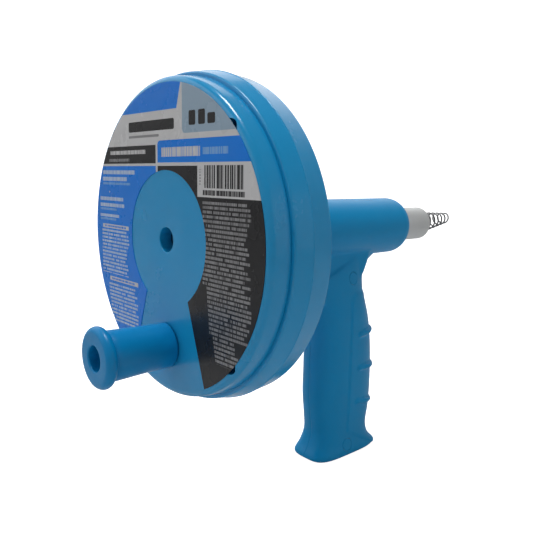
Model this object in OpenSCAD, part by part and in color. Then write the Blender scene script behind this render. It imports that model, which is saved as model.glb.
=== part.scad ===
// Hand-cranked drum auger: a cable drum that turns on a pistol grip, with a
// three-jaw chuck at the nose. +X runs along the spindle to the nose, +Z is up,
// the origin is the centre of the drum's back face. All sizes in millimetres.

/* [Drum] */
// Largest radius of the drum, at its ridge
drum_r = 93.7; // [93:0.1:96]
// Length of the drum along the spindle
drum_len = 36; // [35.5:0.1:38]
// Radius of the flat back face that carries the label
face_r = 84.9; // [84.5:0.1:85.1]
// Wall thickness of the drum halves
drum_wall = 3; // [2.6:0.1:3.2]
// Diameter of the centre hole in the back face
hub_bore_d = 14; // [12:0.5:16]
// Number of screws that join the drum halves
drum_screw_n = 4; // [3:1:4]

/* [Label] */
// Outer radius of the label
label_r = 85.2; // [80:0.1:85.4]
// Radius of the label's round window
window_r = 38.6; // [34:0.2:42]
// Label thickness
label_t = 0.3; // [0.2:0.05:0.4]

/* [Knob] */
// Distance of the knob from the spindle axis
crank_r = 60.5; // [59:0.5:61]
// Length of the knob
knob_len = 45; // [40:1:50]
// Radius of the knob's body
knob_r = 13; // [12:0.5:14]
// Radius of the flange at the knob's free end
knob_flange_r = 17; // [15.5:0.5:18]

/* [Barrel and grip] */
// Outer radius of the barrel
barrel_r = 20.7; // [20:0.1:22]
// Position of the barrel's front face
barrel_front = 206; // [206:1:206]
// Half width of the handle
grip_half_w = 16.4; // [15.5:0.1:18]
// Height of the foot below the spindle axis
foot_z = -166; // [-170:1:-165]
// Height by which the side panel stands out
panel_h = 0.8; // [0.5:0.1:1.2]

/* [Spindle and chuck] */
// Outer radius of the spindle
spindle_r = 9; // [9:0.1:9]
// Outer radius of the chuck nut
chuck_r = 12.7; // [12.5:0.1:13]
// Radial running clearance of turning fits
fit = 0.05; // [0.03:0.01:0.09]
// Half angle of the chuck's inner cone
cone_a = 20.4; // [19.5:0.1:20.8]

/* [Cable] */
// Cable diameter
cable_d = 6; // [5.6:0.1:6]
// Wire diameter of the tip
wire_d = 1.3; // [1:0.1:1.5]
// Turns of the tip
tip_turns = 7.5; // [6:0.5:9]
// Upward tilt of the tip
tip_tilt = 4; // [0:1:5]

/* [Hidden] */

// Drum
inner_back = drum_wall;
inner_front = drum_len - drum_wall;
split_x = 11.9;
spigot_x = 16;
hub_collar_r = hub_bore_d / 2 + 3;
hub_collar_x = 8;
hub_pad_r = 24;
hub_pad_x = drum_len + 2.2;
screw_pcr = 82.6;
well_r = 4.5;
well_floor_x = 9;

// Knob
knob_base_x = -0.7;
knob_end_x = -knob_len;
knob_pocket_x = -16;
shoulder_r = 4;
insert_r = 4.5;
insert_x = 9.5;

// Spindle stack, from the drum to the nose
flange_t = 3;
rivet_pcr = 16.5;
washer_x = hub_pad_x + 0.1;
barrel_back = 41.5;
bush_r = 12.5;
bush_len = 18;
front_bush_back = 184;
front_wall_x = barrel_front - 5.5;
clip_x = barrel_front - 2.95;
clip_t = 1.2;
nut_back = barrel_front + 1;
seal_x = nut_back + 1.2;
spindle_front = 218;
cone_x = 221;
cone_r = spindle_r + fit + 0.01;
cone_len = 12.5;
mouth_x = 235.5;
nut_front = 241;
nose_r = 9.9;
mouth_r = 8.7;
shoulder_x = 236;
jaw_back = spindle_front + 0.1;
jaw_front = 231.5;
jaw_mid = 224.5;
jaw_gap = 0.15;

// Cable
cable_r = cable_d / 2;
lead_back = 30;
tip_x = 239;
tip_len = 40.2;

// Grip screws: [x, z] of each
grip_screw_at = [[143.7, -34.5], [141.6, -157.5]];

coil_r0 = 73.5;
layer_step = 6.4;
coil_pitch = 6.4;
coil_x0 = inner_back + cable_r + 0.4;
coil_x1 = inner_front - cable_r - 0.6;
bend_r = lead_back - coil_x0;
turn_r = 26;
last_turns = 1.7;
coil_steps = 20;
first_turns = (coil_x1 - coil_x0) / coil_pitch;
inner_layer_x = coil_x0 + 7.2;
next_turns = (coil_x1 - inner_layer_x) / coil_pitch;
layer_turns = [first_turns, next_turns, next_turns, last_turns];
sweep_r = (coil_r0 * coil_r0 - turn_r * turn_r - pow(bend_r + turn_r, 2))
  / (2 * (coil_r0 - bend_r - turn_r));
sweep_z = bend_r + turn_r - sweep_r;
sweep_a = 90 - atan2(sweep_z, turn_r);

tip_start_r = 2.3;
tip_flare_r = 7.8;
tip_taper = 3.9;
tip_flare = 0.1;

blue = "#5b98c6";
steel = "#b9bcc0";

// ---------- helpers ----------

// Turns a profile of [radius, x] points about the X axis.
module lathe(points, fn = 120)
  rotate([0, 90, 0]) rotate_extrude($fn = fn) polygon(points);

// Cylinder along X from x0 to x1.
module xcyl(r, x0, x1, fn = 64)
  translate([x0, 0, 0]) rotate([0, 90, 0]) cylinder(r = r, h = x1 - x0, $fn = fn);

// Tube along X.
module xtube(r_in, r_out, x0, x1, fn = 96)
  lathe([[r_in, x0], [r_out, x0], [r_out, x1], [r_in, x1]], fn);

// Places a child at radius r and angle a (from +Z towards +Y) round the spindle.
module around(r, a) rotate([-a, 0, 0]) translate([0, 0, r]) children();

// Cylinder along Y, centred on [x, z], from y0 to y1.
module ycyl(r, at, y0, y1, fn = 48)
  translate([at[0], y1, at[1]]) rotate([90, 0, 0]) cylinder(r = r, h = y1 - y0, $fn = fn);

// Arc points of a profile, as [radius, x]: centre, radius, first and last angle.
function arc(c, r, a0, a1, n = 8) =
  [for (i = [0:n]) let (a = a0 + (a1 - a0) * i / n) [c[0] + r * cos(a), c[1] + r * sin(a)]];

// Faces of a closed tube made of rings of n points each.
function tube_faces(rings, n) = concat(
  [[for (k = [n - 1:-1:0]) k]],
  [for (i = [0:rings - 2]) for (k = [0:n - 1])
    [i * n + k, i * n + (k + 1) % n, (i + 1) * n + (k + 1) % n, (i + 1) * n + k]],
  [[for (k = [0:n - 1]) (rings - 1) * n + k]]
);

// Catmull-Rom value of column c of a list of stations, at position t.
function spline(s, c, t) =
  let (
    n = len(s), i = min(floor(t), n - 2), u = t - i,
    a = s[max(i - 1, 0)][c], b = s[i][c], d = s[i + 1][c], e = s[min(i + 2, n - 1)][c]
  )
  0.5 * (2 * b + (d - a) * u + (2 * a - 5 * b + 4 * d - e) * u * u
    + (3 * b - a - 3 * d + e) * u * u * u);

// ---------- drum ----------

module drum_back_shell() color(blue) difference() {
  union() {
    lathe(concat(
      [[hub_bore_d / 2, 0]],
      arc([face_r, 3.9], 3.9, -90, 0),
      [[face_r + 4.7, split_x], [face_r + 2.1, split_x], [face_r + 2.1, spigot_x],
       [face_r, spigot_x], [face_r, inner_back], [hub_collar_r, inner_back],
       [hub_collar_r, hub_collar_x], [hub_bore_d / 2, hub_collar_x]]), 180);
    for (i = [0:drum_screw_n - 1]) around(screw_pcr, 45 + i * 360 / drum_screw_n) {
      xcyl(well_r + 1, inner_back - 0.4, split_x - 0.4);
      xcyl(3.2, split_x - 1, spigot_x);
    }
    around(-crank_r, 0) xcyl(insert_r + 4, inner_back - 1, insert_x);
  }
  for (i = [0:drum_screw_n - 1]) around(screw_pcr, 45 + i * 360 / drum_screw_n) {
    xcyl(well_r, -1, well_floor_x);
    xcyl(1.7, well_floor_x - 1, spigot_x + 1);
  }
  around(-crank_r, 0) xcyl(insert_r, -1, insert_x + 1);
}

module drum_front_shell() color(blue) difference() {
  union() {
    lathe(concat(
      [[face_r + 2.2, split_x + 0.1]],
      arc([drum_r - 2.9, split_x + 1.3], 1.2, -90, -10, 6),
      [[drum_r, 22.9], [drum_r - 1.2, drum_len - 0.5], [drum_r - 1.7, drum_len],
       [hub_pad_r + 0.6, drum_len], [hub_pad_r, hub_pad_x], [spindle_r + fit, hub_pad_x],
       [spindle_r + fit, inner_front], [drum_r - 4.6, inner_front],
       [drum_r - 4.6, spigot_x + 0.2], [face_r + 2.2, spigot_x + 0.2]]), 180);
    for (i = [0:drum_screw_n - 1]) around(screw_pcr, 45 + i * 360 / drum_screw_n)
      xcyl(3.2, spigot_x + 0.05, inner_front + 1);
  }
  for (i = [0:drum_screw_n - 1]) around(screw_pcr, 45 + i * 360 / drum_screw_n)
    xcyl(1.55, spigot_x - 1, 31);
  for (i = [0:3]) around(rivet_pcr, 45 + i * 90) xcyl(2.05, inner_front - 1, hub_pad_x + 1);
}

module drum_screws() color(steel)
  for (i = [0:drum_screw_n - 1]) around(screw_pcr, 45 + i * 360 / drum_screw_n)
    difference() {
      union() {
        xcyl(3.4, well_floor_x - 2.6, well_floor_x);
        xcyl(1.5, well_floor_x - 0.5, 30);
      }
      for (a = [0, 90]) rotate([a, 0, 0])
        translate([well_floor_x - 3, -2.2, -0.4]) cube([1.6, 4.4, 0.8]);
    }

// The gap below the window widens towards the rim and clears the knob.
module drum_label() color("#1c1d20") difference() {
  lathe([[window_r, -label_t], [label_r, -label_t], [label_r, 0], [window_r, 0]], 180);
  translate([-1, 0, 0]) rotate([90, 0, 90]) linear_extrude(height = 2)
    polygon([[-21, -30], [21, -30], [41.5, -90], [-41.5, -90]]);
}

// ---------- knob ----------

module knob() color(blue) around(-crank_r, 0) lathe(concat(
  [[shoulder_r + fit, knob_base_x], [shoulder_r + fit, knob_pocket_x],
   [7, knob_pocket_x], [7, knob_end_x + 0.6], [7.6, knob_end_x]],
  arc([knob_flange_r - 3.4, knob_end_x + 3.4], 3.4, -90, 90, 10),
  [[knob_r + 0.9, knob_end_x + 9.5], [knob_r, -14],
   [knob_r, knob_base_x - 0.6], [knob_r - 0.6, knob_base_x]]), 96);

module knob_screw() color(steel) around(-crank_r, 0) difference() {
  union() {
    xcyl(6.4, knob_pocket_x - 5, knob_pocket_x - 1);
    xcyl(shoulder_r, knob_pocket_x - 1.2, 0);
    xcyl(3, -0.5, insert_x - 0.1);
  }
  xcyl(2.5, knob_pocket_x - 6, knob_pocket_x - 2.5, 6);
}

module knob_washer() color(steel) around(-crank_r, 0)
  xtube(shoulder_r + 0.05, 6.7, knob_pocket_x - 0.95, knob_pocket_x - 0.1, 64);

module knob_insert() color("#c79a4b") around(-crank_r, 0) xtube(3.02, insert_r, 0, insert_x, 64);

// ---------- spindle and bearings ----------

module spindle() color(steel) difference() {
  lathe([[3.6, inner_front - flange_t + 1.4], [5, inner_front - flange_t],
         [21, inner_front - flange_t], [21, inner_front], [spindle_r, inner_front],
         [spindle_r, clip_x - 0.05], [8.2, clip_x - 0.05], [8.2, clip_x + clip_t + 0.05],
         [spindle_r, clip_x + clip_t + 0.05], [spindle_r, spindle_front - 1],
         [spindle_r - 1, spindle_front], [3.6, spindle_front]], 96);
  for (i = [0:3]) around(rivet_pcr, 45 + i * 90)
    xcyl(2.05, inner_front - flange_t - 1, inner_front + 1);
}

module spindle_rivets() color(steel) for (i = [0:3]) around(rivet_pcr, 45 + i * 90) {
  xcyl(2, inner_front - flange_t - 1, hub_pad_x + 1);
  lathe([[0, inner_front - flange_t - 1.6], [2.6, inner_front - flange_t - 1.6],
         [3.4, inner_front - flange_t - 0.6], [3.4, inner_front - flange_t],
         [0, inner_front - flange_t]], 32);
  lathe([[0, hub_pad_x], [3.4, hub_pad_x], [3.4, hub_pad_x + 0.6],
         [2.6, hub_pad_x + 1.5], [0, hub_pad_x + 1.5]], 32);
}

// Ring with a gap and two plier holes.
module retaining_ring() color("#33353a") difference() {
  xtube(8.25, 11, clip_x, clip_x + clip_t, 64);
  translate([clip_x - 1, -1.6, 0]) cube([clip_t + 2, 3.2, 14]);
}

module thrust_washer() color("#d8d4c4") xtube(spindle_r + fit, 12.6, washer_x, barrel_back);

module rear_bush() color("#d8d4c4") {
  xtube(spindle_r + fit, bush_r, barrel_back, barrel_back + bush_len);
  xtube(bush_r - 1, 15, barrel_back + bush_len - 2.5, barrel_back + bush_len);
}

module front_bush() color("#d8d4c4") {
  xtube(spindle_r + fit, 11.5, front_bush_back, front_wall_x + 0.1);
  xtube(spindle_r + fit, 13.2, front_wall_x, clip_x - 0.05);
}

// ---------- grip ----------

// Stations of the handle: [z, back x, front x, half width, squareness]
handle_stations = [
  [-12, 78, 183, 0.72 * grip_half_w, 2.6],
  [-22, 88, 170.5, 0.84 * grip_half_w, 2.6],
  [-30, 97, 165.3, 0.92 * grip_half_w, 2.6],
  [-38, 104, 163.5, 0.96 * grip_half_w, 2.6],
  [-50, 111, 164, 0.98 * grip_half_w, 2.6],
  [-64, 115.5, 168.5, grip_half_w, 2.6],
  [-80, 117.3, 171.8, grip_half_w, 2.6],
  [-98, 117.2, 173.6, grip_half_w, 2.6],
  [-118, 117, 174, grip_half_w, 2.6],
  [-134, 118.8, 172.8, 0.97 * grip_half_w, 2.7],
  [-147, 120.3, 169.8, 0.95 * grip_half_w, 2.9],
  [-156, 117.6, 171.6, 0.98 * grip_half_w, 3.3],
  [foot_z + 4, 114, 177, 1.06 * grip_half_w, 3.8],
  [foot_z + 1.6, 113.6, 177.5, 1.07 * grip_half_w, 3.8],
  [foot_z, 115.2, 175.8, 0.98 * grip_half_w, 3.8]
];

// Ring of the handle at station position t, grown outwards by g.
function handle_ring(t, g, n) =
  let (
    z = spline(handle_stations, 0, t),
    xb = spline(handle_stations, 1, t) - g, xf = spline(handle_stations, 2, t) + g,
    w = spline(handle_stations, 3, t) + g, e = 2 / spline(handle_stations, 4, t)
  )
  [for (k = [0:n - 1]) let (a = 360 * (k + 0.5) / n, c = cos(a), s = sin(a))
    [(xb + xf) / 2 + (xf - xb) / 2 * sign(c) * pow(abs(c), e), w * sign(s) * pow(abs(s), e), z]];

module handle_loft(g = 0, n = 32, per = 2) {
  rings = (len(handle_stations) - 1) * per + 1;
  polyhedron(
    points = [for (i = [0:rings - 1]) for (p = handle_ring(i / per, g, n)) p],
    faces = tube_faces(rings, n), convexity = 6);
}

// Outline of the raised side panel, in X and Z.
module panel_outline() polygon([[142, -50], [146, -46], [190, -46], [190, -166], [176, -166],
                                [142, -147]]);

// Outline extruded across the grip, from y0 to y1.
module across(y0, y1) translate([0, y1, 0]) rotate([90, 0, 0]) linear_extrude(height = y1 - y0)
  children();

module finger_rib(x0, x1, z, tilt) translate([x0, 0, z]) rotate([0, tilt, 0]) {
  for (s = [-1, 1]) translate([0, s * (grip_half_w - 0.7), 0]) {
    rotate([0, 90, 0]) cylinder(r = 1.9, h = x1 - x0, $fn = 24);
    sphere(r = 1.9, $fn = 24);
  }
  translate([x1 - x0, 0, 0]) rib_bow();
}

// Front bow of a finger rib: half a ring round the front of the handle.
module rib_bow() intersection() {
  rotate_extrude($fn = 64) translate([grip_half_w - 0.7, 0]) circle(r = 1.9, $fn = 24);
  translate([0, -30, -5]) cube([30, 60, 10]);
}

module grip_solid() {
  difference() {
    handle_loft();
    across(-30, 30) polygon([[165, -13], [60, -55], [60, 10], [165, 10]]);
  }
  intersection() {
    handle_loft(panel_h);
    across(-30, 30) panel_outline();
  }
  // web between the barrel and the back of the handle
  across(-11, 11) polygon([[66, -10], [176, -10], [168, -22], [162, -31], [150, -40],
                           [112, -52], [104, -40], [92, -29], [76, -22]]);
  lathe(concat(
    [[0, barrel_back], [barrel_r - 1, barrel_back], [barrel_r, barrel_back + 1]],
    arc([barrel_r - 11, barrel_front - 11], 11, 0, 90, 10),
    [[0, barrel_front]]), 120);
  finger_rib(149, 155.2, -76.2, -5);
  finger_rib(149, 157.6, -101, 2);
  finger_rib(148, 157, -126, 8);
}

// Space inside the grip that both halves leave free.
module grip_hollow() {
  xcyl(spindle_r + 2, barrel_back - 1, barrel_front + 1, 96);
  xcyl(bush_r, barrel_back - 1, barrel_back + bush_len, 96);
  xcyl(15, barrel_back + bush_len - 2.5, barrel_back + bush_len + 1, 96);
  xcyl(barrel_r - 3, barrel_back + bush_len, front_bush_back - 1, 96);
  xcyl(11.5, front_bush_back - 2, barrel_front, 96);
  xcyl(13.3, front_wall_x, barrel_front + 1, 96);
  difference() {
    across(-10, 10) polygon([[120, -20], [156, -20], [155, -46], [163, -78], [165, -118],
                             [161, -146], [164, -158], [127, -158], [128, -146], [125, -118],
                             [125, -80], [119, -50]]);
    for (s = grip_screw_at) ycyl(5.5, s, -20, 20);
  }
}

module grip_half(side) difference() {
  intersection() {
    grip_solid();
    translate([0, side > 0 ? 0 : -60, -200]) cube([300, 60, 260]);
  }
  grip_hollow();
  for (s = grip_screw_at)
    if (side < 0) {
      ycyl(4.6, s, -40, -9);
      ycyl(1.7, s, -10, 1);
    } else ycyl(1.55, s, -1, 11);
}

module grip_half_right() color(blue) grip_half(-1);

module grip_half_left() color(blue) grip_half(1);

module grip_screws() color(steel) for (s = grip_screw_at) difference() {
  union() {
    ycyl(3.6, s, -11.4, -9);
    ycyl(1.5, s, -9.5, 10);
  }
  for (a = [0, 90]) translate([s[0], -12, s[1]]) rotate([0, a, 0])
    translate([-2.2, 0, -0.4]) cube([4.4, 1.6, 0.8]);
}

module screw_caps() color(blue) for (i = [0, 1]) {
  s = grip_screw_at[i];
  w = i == 0 ? 14.6 : 15.2;
  difference() {
    ycyl(4.5, s, -w, -11.6);
    ycyl(3.2, s, -12.9, -11);
  }
}

// ---------- chuck ----------

module chuck_nut() color("#a9abac") lathe(concat(
  [[cone_r, nut_back], [chuck_r - 0.6, nut_back], [chuck_r, nut_back + 0.6]],
  arc([chuck_r - 4, shoulder_x], 4, 0, 62, 8),
  [[nose_r + 0.3, nut_front - 0.4], [nose_r, nut_front], [mouth_r, nut_front], [mouth_r, mouth_x],
   [cone_r - cone_len * tan(cone_a), mouth_x], [cone_r - cone_len * tan(cone_a), cone_x + cone_len],
   [cone_r, cone_x], [cone_r, seal_x + 1.6], [10.6, seal_x + 1.6], [10.6, seal_x],
   [cone_r, seal_x]]), 120);

module chuck_seal() color("#1d1e20") xtube(spindle_r + 0.08, 10.52, seal_x + 0.08, seal_x + 1.52);

// One of three jaws round the cable, facing angle a.
module jaw(a) color(steel) intersection() {
  lathe([[cable_r + fit, jaw_back], [jaw_r(jaw_mid), jaw_back], [jaw_r(jaw_mid), jaw_mid],
         [jaw_r(jaw_front), jaw_front], [cable_r + fit, jaw_front]], 72);
  translate([jaw_back - 1, 0, 0]) rotate([90 - a, 0, 0]) rotate([90, 0, 90])
    linear_extrude(height = 20) translate([0.9, 0]) polygon([[0, 0], [20 * cos(59.9), 20 * sin(59.9)],
      [30, 0], [20 * cos(59.9), -20 * sin(59.9)]]);
}

// Outer radius of the jaws at position x: parallel to the nut's inner cone.
function jaw_r(x) = cone_r - (x - cone_x) * tan(cone_a) - jaw_gap;

module jaw_top() jaw(0);

module jaw_right() jaw(240);

module jaw_left() jaw(120);

// ---------- cable ----------

// Radius and x of the coil after u turns: layers run to and fro between the walls.
function turns_before(i) = i == 0 ? 0 : turns_before(i - 1) + layer_turns[i - 1];
function layer_at(u) = u < turns_before(1) ? 0 : u < turns_before(2) ? 1 : u < turns_before(3) ? 2 : 3;
function coil_x(u) = let (l = layer_at(u), v = (u - turns_before(l)) * coil_pitch)
  l == 0 ? coil_x0 + v : l % 2 == 1 ? coil_x1 - v : inner_layer_x + v;
function ease(v) = v <= 0 ? 0 : v >= 1 ? 1 : v * v * (3 - 2 * v);
function coil_r(u) = coil_r0
  - layer_step * (ease((u - turns_before(1)) / 0.2 + 0.5) + ease((u - turns_before(2)) / 0.2 + 0.5)
  + ease((u - turns_before(3)) / 0.2 + 0.5));
function coil_point(u) = let (a = sweep_a + 360 * u, r = coil_r(u)) [coil_x(u), r * sin(a), r * cos(a)];

// Whole route: off the spindle axis, round to the rim, then the wound layers.
coil_route = concat(
  [for (i = [0:6]) let (a = 15 * i) [lead_back - bend_r * sin(a), 0, bend_r * (1 - cos(a))]],
  [for (i = [1:6]) let (a = 15 * i)
    [coil_x0, turn_r * (1 - cos(a)), bend_r + turn_r * sin(a)]],
  [for (i = [1:5]) let (a = sweep_a * i / 5)
    [coil_x0, turn_r + sweep_r * sin(a), sweep_z + sweep_r * cos(a)]],
  [for (i = [1:floor(turns_before(4) * coil_steps)]) coil_point(i / coil_steps)]
);

function unit(v) = v / norm(v);

// Ring of n points of radius r about point i of a route that winds round the X axis.
function route_ring(route, i, r, n) =
  let (
    t = unit(route[min(i + 1, len(route) - 1)] - route[max(i - 1, 0)]),
    u = unit(cross([-1, 0, 0], t)), v = cross(t, u)
  )
  [for (k = [0:n - 1]) let (a = 360 * k / n) route[i] + r * (cos(a) * u + sin(a) * v)];

module cable_coil() color("#8f9194") polyhedron(
  points = [for (i = [0:len(coil_route) - 1]) for (p = coil_ring(i)) p],
  faces = tube_faces(len(coil_route), 8), convexity = 20);

// The coil's frame: it turns with the bend at the start, then follows the wall.
function coil_ring(i) =
  let (
    t = i == 0 ? [-1, 0, 0] : unit(coil_route[min(i + 1, len(coil_route) - 1)] - coil_route[i - 1]),
    u = i <= 6 ? [0, 1, 0] : unit(cross([-1, 0, 0], t)), v = cross(t, u)
  )
  [for (k = [0:7]) let (a = 45 * k) coil_route[i] + cable_r * (cos(a) * u + sin(a) * v)];

module cable_lead() color("#8f9194") xcyl(cable_r, lead_back, tip_x, 48);

// Mean radius of the tip's helix: it flares out of the cable, then tapers to the end.
function tip_r(u) = u < tip_flare
  ? tip_start_r + (tip_flare_r - tip_start_r) * ease(u / tip_flare)
  : tip_flare_r - tip_taper * (u - tip_flare) / (1 - tip_flare);

module cable_tip() {
  steps = 18;
  count = floor(tip_turns * steps);
  route = [for (i = [0:count]) let (u = i / count, a = 360 * i / steps, r = tip_r(u))
    [wire_d * 0.6 + (tip_len - wire_d) * u, r * sin(a), r * cos(a)]];
  color("#6e7073") translate([tip_x, 0, 0]) rotate([0, -tip_tilt, 0]) polyhedron(
    points = [for (i = [0:count]) for (p = route_ring(route, i, wire_d / 2, 6)) p],
    faces = tube_faces(count + 1, 6), convexity = 20);
}

drum_back_shell();
drum_front_shell();
drum_screws();
drum_label();
knob();
knob_screw();
knob_washer();
knob_insert();
spindle();
spindle_rivets();
retaining_ring();
thrust_washer();
rear_bush();
front_bush();
grip_half_right();
grip_half_left();
grip_screws();
screw_caps();
chuck_nut();
chuck_seal();
jaw_top();
jaw_right();
jaw_left();
cable_coil();
cable_lead();
cable_tip();
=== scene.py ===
"""Looks of a hand drain auger: drum, label, knob, grip, chuck and cable on the CAD frame."""
import logging
import math
from collections.abc import Callable, Sequence
from dataclasses import dataclass, field
from enum import Enum

import bmesh
import bpy
from mathutils import Matrix, Vector


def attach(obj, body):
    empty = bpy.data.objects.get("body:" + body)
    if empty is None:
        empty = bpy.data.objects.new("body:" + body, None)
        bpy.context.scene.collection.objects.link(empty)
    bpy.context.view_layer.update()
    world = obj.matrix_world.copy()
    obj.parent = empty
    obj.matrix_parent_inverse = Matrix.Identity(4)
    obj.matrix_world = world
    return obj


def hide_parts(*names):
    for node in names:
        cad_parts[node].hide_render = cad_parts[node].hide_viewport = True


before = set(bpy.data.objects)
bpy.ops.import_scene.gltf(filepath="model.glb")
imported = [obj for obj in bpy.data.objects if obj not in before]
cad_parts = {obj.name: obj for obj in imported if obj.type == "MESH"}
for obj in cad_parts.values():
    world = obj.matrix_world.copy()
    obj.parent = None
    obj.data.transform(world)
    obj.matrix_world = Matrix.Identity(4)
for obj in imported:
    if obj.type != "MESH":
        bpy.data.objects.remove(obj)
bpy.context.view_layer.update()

MM = 0.001
LOG = logging.getLogger("drain_auger")

Point = tuple[float, float]
Colour = tuple[float, float, float, float]


class Slot(Enum):
    """The finishes, by name."""

    DRUM = "drum_plastic"
    GRIP = "grip_plastic"
    KNOB = "knob_plastic"
    LABEL = "label_print"
    CHUCK = "chuck_metal"
    PLATED = "plated_steel"
    BLACK = "black_steel"
    WIRE = "cable_wire"
    NYLON = "nylon"
    BRASS = "insert_brass"
    RUBBER = "seal_rubber"


class Body(Enum):
    """The bodies that pieces ride on."""

    GRIP = "grip"
    DRUM = "drum"
    KNOB = "crank_knob"
    CHUCK = "chuck"
    CABLE = "cable"


def ink(red: int, green: int, blue: int) -> Colour:
    """Turn a display colour, 0 to 255, into a linear one.

    Args:
        red: red as shown on a screen.
        green: green as shown on a screen.
        blue: blue as shown on a screen.

    Returns:
        The linear colour with full opacity.
    """
    def linear(value: int) -> float:
        """Undo the display curve for one channel."""
        v = value / 255
        return v / 12.92 if v <= 0.04045 else ((v + 0.055) / 1.055) ** 2.4

    return (linear(red), linear(green), linear(blue), 1.0)


# ---------------------------------------------------------------- node sketching


class NodeSketch:
    """Short calls for adding and joining nodes in one tree."""

    def __init__(self, tree: bpy.types.NodeTree) -> None:
        """Keep the tree and start it empty.

        Args:
            tree: the material's or group's node tree.
        """
        self.tree = tree
        tree.nodes.clear()

    def put(self, socket: bpy.types.NodeSocket, value: object) -> None:
        """Join a socket to another one, or set its own value.

        Args:
            socket: the input to feed.
            value: an output socket, or a plain value.
        """
        if isinstance(value, bpy.types.NodeSocket):
            self.tree.links.new(value, socket)
        elif value is not None:
            socket.default_value = value

    def node(self, kind: str, settings: dict | None = None, **inputs: object) -> bpy.types.Node:
        """Add a node.

        Args:
            kind: the node's type without its ShaderNode prefix.
            settings: attributes to set on the node.
            inputs: values or sockets by input name, with _ for a space.

        Returns:
            The new node.
        """
        made = self.tree.nodes.new("ShaderNode" + kind)
        for name, value in (settings or {}).items():
            setattr(made, name, value)
        for name, value in inputs.items():
            self.put(made.inputs[name.replace("_", " ")], value)
        return made

    def math(self, operation: str, *values: object, clamp: bool = False) -> bpy.types.NodeSocket:
        """Add a Math node and return its result.

        Args:
            operation: the node's operation.
            values: one to three numbers or sockets.
            clamp: whether the result is kept between 0 and 1.

        Returns:
            The result's socket.
        """
        made = self.node("Math", {"operation": operation, "use_clamp": clamp})
        for socket, value in zip(made.inputs, values):
            self.put(socket, value)
        return made.outputs[0]

    def blend(self, amount: object, first: object, second: object) -> bpy.types.NodeSocket:
        """Mix two colours.

        Args:
            amount: the share of the second colour.
            first: the first colour.
            second: the second colour.

        Returns:
            The mixed colour's socket.
        """
        made = self.node("Mix", {"data_type": "RGBA"})
        self.put(made.inputs[0], amount)
        self.put(made.inputs[6], first)
        self.put(made.inputs[7], second)
        return made.outputs[2]

    def between(self, value: object, low: float, high: float, to_low: object = 0.0,
                to_high: object = 1.0) -> bpy.types.NodeSocket:
        """Map a value from one range to another and keep it inside.

        Args:
            value: the value's socket.
            low: start of the range it comes from.
            high: end of the range it comes from.
            to_low: the result at the start.
            to_high: the result at the end.

        Returns:
            The mapped value's socket.
        """
        made = self.node("MapRange", Value=value, From_Min=low, From_Max=high, To_Min=to_low,
                         To_Max=to_high)
        return made.outputs["Result"]

    def noise(self, place: object, scale: object, detail: float = 3.0,
              roughness: float = 0.5) -> bpy.types.NodeSocket:
        """Add a noise texture and return its value.

        Args:
            place: the coordinates' socket.
            scale: its scale, per metre in object coordinates.
            detail: its octaves.
            roughness: how much the finer octaves count.

        Returns:
            The noise value's socket.
        """
        made = self.node("TexNoise", Vector=place, Scale=scale, Detail=detail, Roughness=roughness)
        return made.outputs["Fac"]

    def place(self) -> bpy.types.NodeSocket:
        """Coordinates in the object's own space, which are the frame's, in metres."""
        return self.node("TexCoord").outputs["Object"]

    def times(self, first: object, second: object) -> bpy.types.NodeSocket:
        """Multiply two values."""
        return self.math("MULTIPLY", first, second)

    def plus(self, first: object, second: object) -> bpy.types.NodeSocket:
        """Add two values."""
        return self.math("ADD", first, second)

    def minus(self, first: object, second: object) -> bpy.types.NodeSocket:
        """Take the second value from the first."""
        return self.math("SUBTRACT", first, second)


class Effect:
    """A shader node group that several materials share."""

    def __init__(self, name: str, inputs: Sequence[tuple[str, str, object]],
                 outputs: Sequence[tuple[str, str]],
                 draw: Callable[[NodeSketch, bpy.types.Node, bpy.types.Node], None]) -> None:
        """Build the group once.

        Args:
            name: the group's name.
            inputs: name, socket type and default of each input.
            outputs: name and socket type of each output.
            draw: fills the group between its input and output node.
        """
        self.tree = bpy.data.node_groups.new(name, "ShaderNodeTree")
        for title, kind, default in inputs:
            socket = self.tree.interface.new_socket(title, in_out="INPUT",
                                                    socket_type="NodeSocket" + kind)
            socket.default_value = default
        for title, kind in outputs:
            self.tree.interface.new_socket(title, in_out="OUTPUT",
                                           socket_type="NodeSocket" + kind)
        sketch = NodeSketch(self.tree)
        start = self.tree.nodes.new("NodeGroupInput")
        end = self.tree.nodes.new("NodeGroupOutput")
        draw(sketch, start, end)

    def use(self, sketch: NodeSketch, **inputs: object) -> bpy.types.Node:
        """Place the group in a material.

        Args:
            sketch: the material's sketch.
            inputs: values or sockets by input name, with _ for a space.

        Returns:
            The group node.
        """
        made = sketch.tree.nodes.new("ShaderNodeGroup")
        made.node_tree = self.tree
        for name, value in inputs.items():
            sketch.put(made.inputs[name.replace("_", " ")], value)
        return made


def draw_grain(s: NodeSketch, start: bpy.types.Node, end: bpy.types.Node) -> None:
    """Draw a moulded surface: fine pebbles over a slow ripple.

    Args:
        s: the group's sketch.
        start: the group's input node.
        end: the group's output node.
    """
    place = s.place()
    cells = s.node("TexVoronoi", {"feature": "SMOOTH_F1"}, Vector=place,
                   Scale=start.outputs["Pebbles"], Smoothness=0.8).outputs["Distance"]
    fine = s.times(cells, start.outputs["Pebble depth"])
    slow = s.times(s.noise(place, start.outputs["Ripples"], 2.0), start.outputs["Ripple depth"])
    s.put(end.inputs["Height"], s.plus(fine, slow))


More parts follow.
